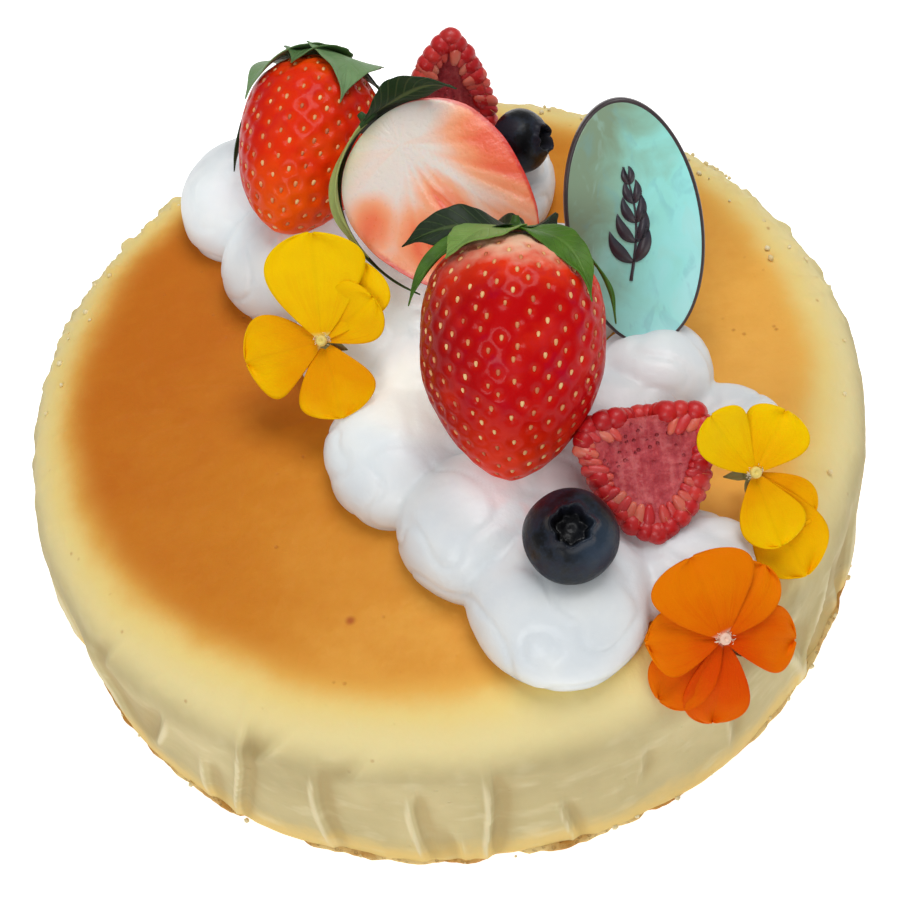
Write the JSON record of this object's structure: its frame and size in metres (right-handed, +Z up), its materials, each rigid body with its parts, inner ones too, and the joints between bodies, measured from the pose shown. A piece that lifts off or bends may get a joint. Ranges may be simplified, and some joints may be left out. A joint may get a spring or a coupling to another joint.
{
  "type": "round souffle cheesecake with whipped cream, berries, edible flowers and a plaque",
  "caption": "Round souffle cheesecake with a browned top and creased sides, dressed with whipped cream, berries, violas and a leaning oval plaque.",
  "frame": {"origin": "middle of the sponge base's underside, where the cake rests", "axes": "+Z up through the cake, -Y towards the front where the foremost cream lump lies, +X to the right"},
  "size_m": [0.15, 0.15, 0.0813],
  "materials": {
    "sponge_base": "golden-brown baked sponge, dry and crumbly",
    "cheesecake": "pale beige souffle crumb with a smooth browned skin on top",
    "whipped_cream": "soft satin whipped cream",
    "strawberry": "glossy red skin with pale seeds",
    "strawberry_flesh": "moist orange-pink cut flesh with a whitish core",
    "leaf": "matt green leaf",
    "raspberry": "moist pinkish-red berry, cut face inside",
    "blueberry": "near-black navy skin with a faint bloom",
    "yellow_petal": "velvety yellow petal",
    "orange_petal": "velvety orange petal",
    "plaque": "glossy teal marbled face on a dark rim"
  },
  "bodies": {
    "root": {"sponge_base": "sponge_base", "cheesecake": "cheesecake", "whipped_cream": "whipped_cream", "strawberry_front": "strawberry", "strawberry_back": "strawberry", "strawberry_half": "strawberry_flesh", "strawberry_front_leaves": "leaf", "strawberry_back_leaves": "leaf", "strawberry_half_leaves": "leaf", "raspberry_half_front": "raspberry", "raspberry_half_back": "raspberry", "blueberry_front": "blueberry", "blueberry_back": "blueberry", "viola_yellow_left": "yellow_petal", "viola_yellow_right": "yellow_petal", "viola_orange": "orange_petal", "plaque": "plaque"}
  },
  "joints": []
}
